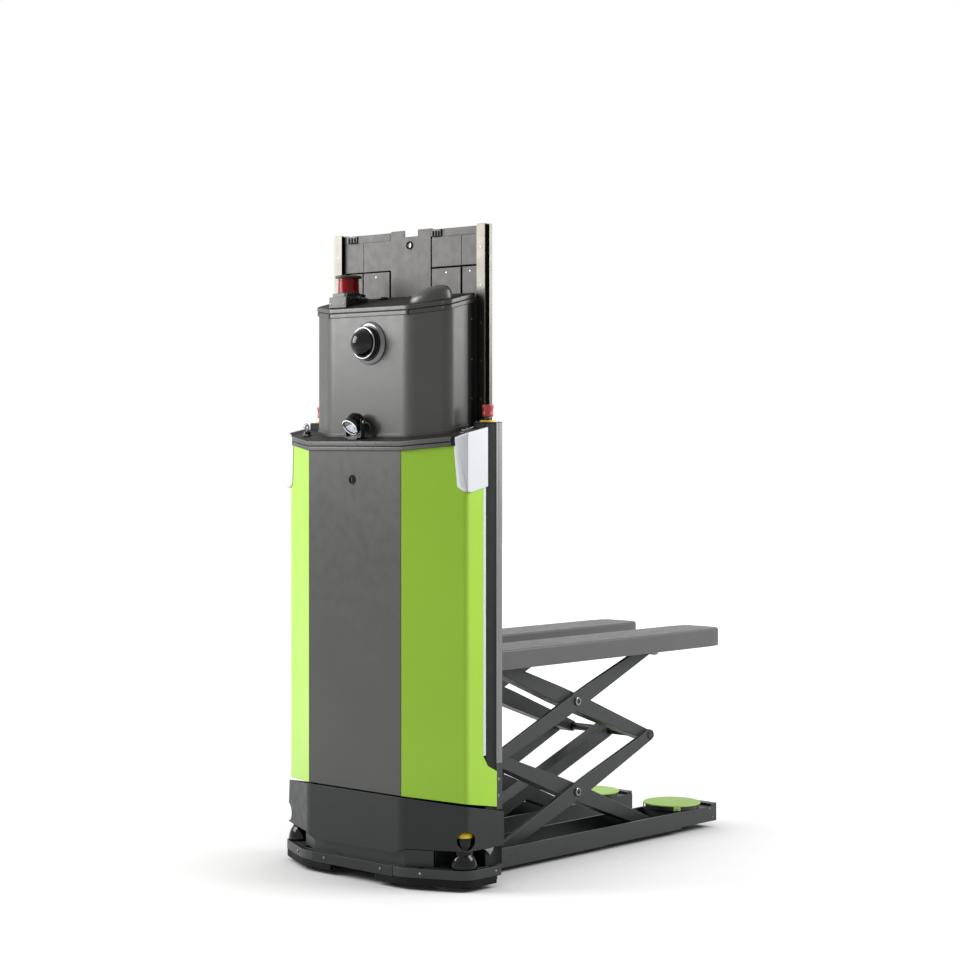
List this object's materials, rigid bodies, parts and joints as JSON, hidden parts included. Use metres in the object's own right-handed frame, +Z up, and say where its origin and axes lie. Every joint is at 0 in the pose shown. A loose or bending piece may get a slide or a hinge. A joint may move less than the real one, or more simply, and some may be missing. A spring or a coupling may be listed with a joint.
{
  "type": "autonomous mobile robot",
  "caption": "Free-driving transport robot: sensor tower on a bumper base, two low legs with steered wheels, and a double scissor that lifts a pair of pallet forks with a backrest.",
  "frame": {"origin": "middle of the overall box, on the floor", "axes": "+X towards the fork tips, +Y to the robot's side with the navigation scanner, +Z up"},
  "size_m": [1.58, 0.832, 2.062],
  "materials": {
    "dark_panel": "satin powder coat",
    "green_panel": "gloss paint",
    "green_disc": "fine textured paint",
    "white_plastic": "satin",
    "anthracite": "fine textured paint",
    "mast_paint": "satin paint",
    "backrest_paint": "satin paint",
    "fork_paint": "fine textured paint",
    "polished": "polished",
    "bare_steel": "turned",
    "black_rubber": "satin",
    "black_plastic": "fine texture",
    "grey_cast": "painted casting",
    "chrome_trim": "polished",
    "black_cable": "smooth cable jacket",
    "dark_glass": "polished",
    "red_window": "polished",
    "red_button": "gloss",
    "yellow_cap": "satin",
    "lamp_glass": "faceted",
    "wheel_tread": "moulded",
    "battery_case": "moulded",
    "controller_case": "brushed"
  },
  "bodies": {
    "base": {"base_frame": "anthracite", "legs": "anthracite", "bumper_strip": "bare_steel", "bumper_corners": "black_rubber", "skirt": "dark_panel", "front_panel": "dark_panel", "side_panels": "green_panel", "deck": "dark_panel", "corner_fairings": "white_plastic", "light_strips": "white_plastic", "mast_channels": "mast_paint", "rear_wall": "anthracite", "head_shell": "dark_panel", "head_cap": "dark_panel", "cap_bulge": "black_plastic", "camera_housing": "black_plastic", "camera_dome": "dark_glass", "lidar_body": "grey_cast", "lidar_window": "red_window", "lidar_cap": "black_plastic", "scanner_lead": "black_cable", "work_light_bracket": "black_plastic", "work_light_lead": "black_cable", "stop_collars": "black_plastic", "key_switch": "black_plastic", "guard_scanners": "black_plastic", "guard_caps": "yellow_cap", "battery": "battery_case", "controller": "controller_case", "lift_drive": "bare_steel", "base_pivot_shaft": "bare_steel"},
    "lidar_spinner": {"lidar_rotor": "black_plastic"},
    "work_light": {"work_light_body": "black_plastic", "work_light_lens": "lamp_glass"},
    "stop_left": {"stop_button_left": "red_button"},
    "stop_right": {"stop_button_right": "red_button"},
    "switch_key": {"key": "chrome_trim"},
    "panel_lock": {"front_lock": "chrome_trim"},
    "steer_front_left": {"drive_yoke_left": "bare_steel"},
    "steer_front_right": {"drive_yoke_right": "bare_steel"},
    "wheel_front_left": {"drive_wheel_left": "wheel_tread"},
    "wheel_front_right": {"drive_wheel_right": "wheel_tread"},
    "steer_leg_left": {"turntable_left": "green_disc"},
    "steer_leg_right": {"turntable_right": "green_disc"},
    "wheel_leg_left": {"leg_wheel_left": "wheel_tread"},
    "wheel_leg_right": {"leg_wheel_right": "wheel_tread"},
    "lower_outer": {"lower_outer_arms": "anthracite", "lower_pins": "bare_steel"},
    "lower_inner": {"lower_inner_arms": "anthracite"},
    "foot_roller_pair": {"foot_rollers": "bare_steel"},
    "upper_inner": {"upper_inner_arms": "anthracite", "upper_pins": "bare_steel"},
    "upper_outer": {"upper_outer_arms": "anthracite", "front_links": "bare_steel"},
    "fork_roller_pair": {"fork_rollers": "bare_steel"},
    "carriage": {"fork_left": "fork_paint", "fork_right": "fork_paint", "backrest": "backrest_paint", "rails": "polished", "rail_brackets": "anthracite"}
  },
  "joints": [
    {"name": "lift", "type": "hinge", "parent": "base", "child": "lower_outer", "pos_m": [-0.34401, 0, 0.0486], "axis": [0, 1, 0], "range_deg": [0, 16]},
    {"name": "lower_cross", "type": "hinge", "parent": "lower_outer", "child": "lower_inner", "pos_m": [0.0523, 0, 0.20073], "axis": [0, 1, 0], "range_deg": [-32.5, 0.5]},
    {"name": "mid_rear", "type": "hinge", "parent": "lower_outer", "child": "upper_inner", "pos_m": [0.4486, 0, 0.35285], "axis": [0, 1, 0], "range_deg": [-32.5, 0.5]},
    {"name": "upper_cross", "type": "hinge", "parent": "upper_inner", "child": "upper_outer", "pos_m": [0.0523, 0, 0.50498], "axis": [0, 1, 0], "range_deg": [-0.5, 32.5]},
    {"name": "fork_hinge", "type": "hinge", "parent": "upper_inner", "child": "carriage", "pos_m": [-0.34401, 0, 0.65711], "axis": [0, 1, 0], "range_deg": [-0.5, 16.5]},
    {"name": "foot_roll", "type": "hinge", "parent": "lower_inner", "child": "foot_roller_pair", "pos_m": [0.4486, 0, 0.0486], "axis": [0, 1, 0], "continuous": true},
    {"name": "fork_roll", "type": "hinge", "parent": "upper_outer", "child": "fork_roller_pair", "pos_m": [0.4486, 0, 0.65711], "axis": [0, 1, 0], "continuous": true},
    {"name": "lidar_spin", "type": "hinge", "parent": "base", "child": "lidar_spinner", "pos_m": [-0.652, 0.16, 1.857], "axis": [0, 0, 1], "continuous": true},
    {"name": "light_tilt", "type": "hinge", "parent": "base", "child": "work_light", "pos_m": [-0.75101, 0.027, 1.44], "axis": [0, 1, 0], "range_deg": [-15, 18]},
    {"name": "key_turn", "type": "hinge", "parent": "base", "child": "switch_key", "pos_m": [-0.707, 0.298, 1.3968], "axis": [0, 0, 1], "range_deg": [0, 90]},
    {"name": "lock_turn", "type": "hinge", "parent": "base", "child": "panel_lock", "pos_m": [-0.782, 0.008, 1.259], "axis": [1, 0, 0], "range_deg": [0, 90]},
    {"name": "stop_push_left", "type": "slide", "parent": "base", "child": "stop_left", "axis": [0, 0, -1], "range_m": [0, 0.004], "stiffness_N_per_m": 900},
    {"name": "steer_front_left", "type": "hinge", "parent": "base", "child": "steer_front_left", "pos_m": [-0.672, 0.19, 0.156], "axis": [0, 0, 1], "range_deg": [-180, 180]},
    {"name": "roll_front_left", "type": "hinge", "parent": "steer_front_left", "child": "wheel_front_left", "pos_m": [-0.672, 0.19, 0.07], "axis": [0, 1, 0], "continuous": true},
    {"name": "steer_leg_left", "type": "hinge", "parent": "base", "child": "steer_leg_left", "pos_m": [0.60701, 0.186, 0.0986], "axis": [0, 0, 1], "range_deg": [-180, 180]},
    {"name": "roll_leg_left", "type": "hinge", "parent": "steer_leg_left", "child": "wheel_leg_left", "pos_m": [0.60701, 0.186, 0.042], "axis": [0, 1, 0], "continuous": true},
    {"name": "stop_push_right", "type": "slide", "parent": "base", "child": "stop_right", "axis": [0, 0, -1], "range_m": [0, 0.004], "stiffness_N_per_m": 900},
    {"name": "steer_front_right", "type": "hinge", "parent": "base", "child": "steer_front_right", "pos_m": [-0.672, -0.19, 0.156], "axis": [0, 0, 1], "range_deg": [-180, 180]},
    {"name": "roll_front_right", "type": "hinge", "parent": "steer_front_right", "child": "wheel_front_right", "pos_m": [-0.672, -0.19, 0.07], "axis": [0, 1, 0], "continuous": true},
    {"name": "steer_leg_right", "type": "hinge", "parent": "base", "child": "steer_leg_right", "pos_m": [0.60701, -0.186, 0.0986], "axis": [0, 0, 1], "range_deg": [-180, 180]},
    {"name": "roll_leg_right", "type": "hinge", "parent": "steer_leg_right", "child": "wheel_leg_right", "pos_m": [0.60701, -0.186, 0.042], "axis": [0, 1, 0], "continuous": true}
  ],
  "couplings": [
    {"joint": "lower_cross", "follows": "lift", "ratio": -2},
    {"joint": "mid_rear", "follows": "lift", "ratio": -2},
    {"joint": "upper_cross", "follows": "lift", "ratio": 2},
    {"joint": "fork_hinge", "follows": "lift", "ratio": 1}
  ]
}
